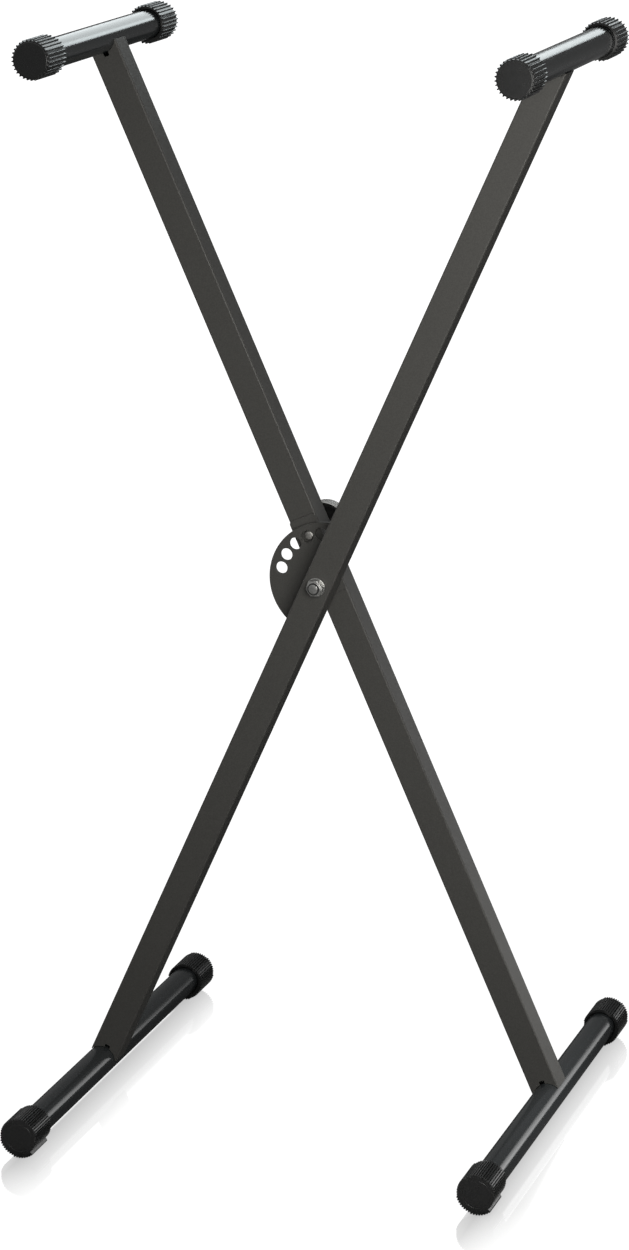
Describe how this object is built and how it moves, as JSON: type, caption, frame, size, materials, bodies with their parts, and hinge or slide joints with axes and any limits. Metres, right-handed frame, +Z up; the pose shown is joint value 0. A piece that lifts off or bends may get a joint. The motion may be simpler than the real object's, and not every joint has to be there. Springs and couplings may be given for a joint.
{
  "type": "keyboard stand",
  "caption": "Folding X keyboard stand: two square legs on a bolted pivot, a drilled lock disc with a spring pin, capped support tubes and levelling feet.",
  "frame": {"origin": "on the floor, midway between the two legs and under the pivot", "axes": "+Z up, +X to the right of the front, +Y to the back, along the support tubes and the pivot"},
  "size_m": [0.4346, 0.445, 0.9287],
  "materials": {
    "painted_steel": "fine textured powder coat, warm dark grey",
    "satin_tube": "satin black enamel",
    "black_plastic": "moulded, lightly grained",
    "knob_plastic": "moulded, satin",
    "bright_steel": "turned, plain",
    "knurled_chrome": "knurled and plated",
    "zinc_plate": "zinc plated, slightly dull",
    "nylon": "black nylon, smooth"
  },
  "bodies": {
    "front_frame": {"front_leg": "painted_steel", "right_support_tube": "satin_tube", "left_foot_tube": "satin_tube", "right_support_cap_front": "black_plastic", "right_support_cap_back": "black_plastic", "lock_disc": "painted_steel", "front_pivot_sleeve": "zinc_plate", "pivot_bolt": "zinc_plate", "front_washer": "zinc_plate", "back_washer": "zinc_plate", "pivot_nut": "zinc_plate", "nut_insert": "nylon"},
    "rear_frame": {"rear_leg": "painted_steel", "left_support_tube": "satin_tube", "right_foot_tube": "satin_tube", "left_support_cap_front": "black_plastic", "left_support_cap_back": "black_plastic", "pivot_plate": "painted_steel", "rear_pivot_sleeve": "zinc_plate", "thrust_washer": "nylon", "plunger_housing": "bright_steel", "housing_nut": "zinc_plate", "pin_spring": "bright_steel"},
    "plunger": {"lock_pin": "bright_steel", "knob_core": "knob_plastic", "knob_ring": "knurled_chrome"},
    "left_front_foot": {"left_foot_cap_front": "black_plastic"},
    "left_back_foot": {"left_foot_cap_back": "black_plastic"},
    "right_front_foot": {"right_foot_cap_front": "black_plastic"},
    "right_back_foot": {"right_foot_cap_back": "black_plastic"}
  },
  "joints": [
    {"name": "fold", "type": "hinge", "parent": "front_frame", "child": "rear_frame", "pos_m": [0, 0, 0.46367], "axis": [0, 1, 0], "range_deg": [-54.6, 43.7]},
    {"name": "pin_pull", "type": "slide", "parent": "rear_frame", "child": "plunger", "axis": [0, 1, 0], "range_m": [-0.0128, 0.0015], "deforming": ["pin_spring"]},
    {"name": "left_front_level", "type": "hinge", "parent": "front_frame", "child": "left_front_foot", "pos_m": [-0.19922, -0.205, 0.0183], "axis": [0, 1, 0], "continuous": true},
    {"name": "left_back_level", "type": "hinge", "parent": "front_frame", "child": "left_back_foot", "pos_m": [-0.19922, 0.205, 0.0183], "axis": [0, 1, 0], "continuous": true},
    {"name": "right_front_level", "type": "hinge", "parent": "rear_frame", "child": "right_front_foot", "pos_m": [0.19922, -0.205, 0.0183], "axis": [0, 1, 0], "continuous": true},
    {"name": "right_back_level", "type": "hinge", "parent": "rear_frame", "child": "right_back_foot", "pos_m": [0.19922, 0.205, 0.0183], "axis": [0, 1, 0], "continuous": true}
  ]
}
